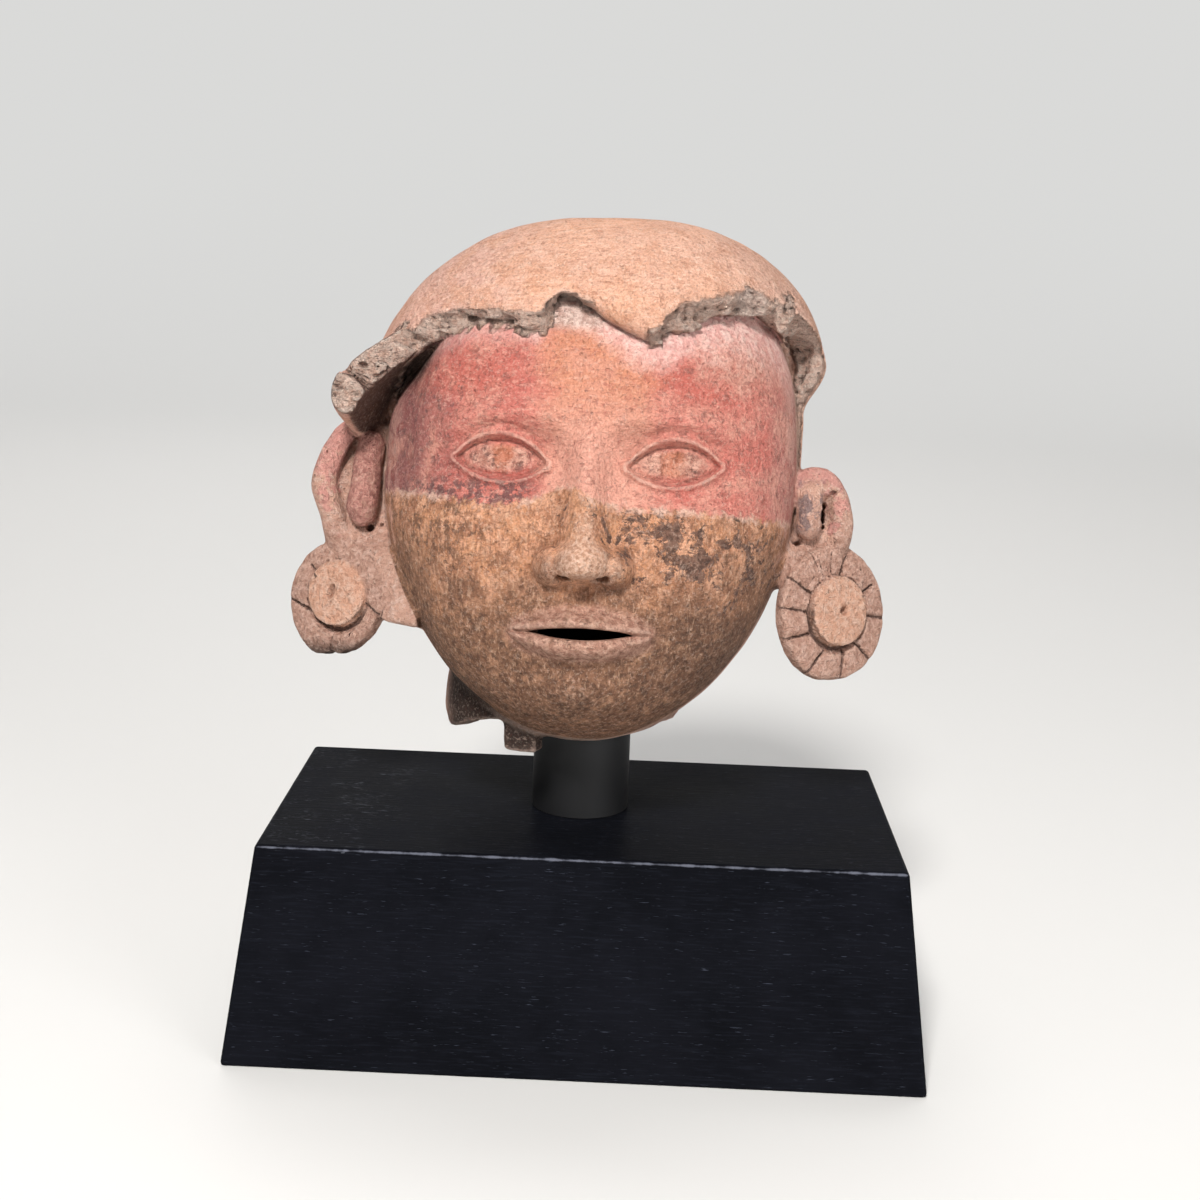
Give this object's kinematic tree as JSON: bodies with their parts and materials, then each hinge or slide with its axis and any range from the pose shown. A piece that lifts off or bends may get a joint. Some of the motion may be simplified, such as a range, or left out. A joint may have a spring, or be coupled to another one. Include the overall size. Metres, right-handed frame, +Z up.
{
  "type": "pottery head",
  "caption": "Hollow fired-clay head with a broken cap brim, rolled ears and round ear ornaments, carried by a black post on a tapered wooden block.",
  "frame": {"origin": "middle of the block's underside", "axes": "+Z up, the face looks along -Y, +X to the viewer's right"},
  "size_m": [0.214, 0.1403, 0.2553],
  "materials": {
    "fired_clay": "unglazed, matt, worn red, ochre and dark paint",
    "black_post": "matt black",
    "black_wood": "satin black paint over open-grained wood"
  },
  "bodies": {
    "root": {"pottery_head": "fired_clay", "mount_post": "black_post", "display_base": "black_wood"}
  },
  "joints": []
}
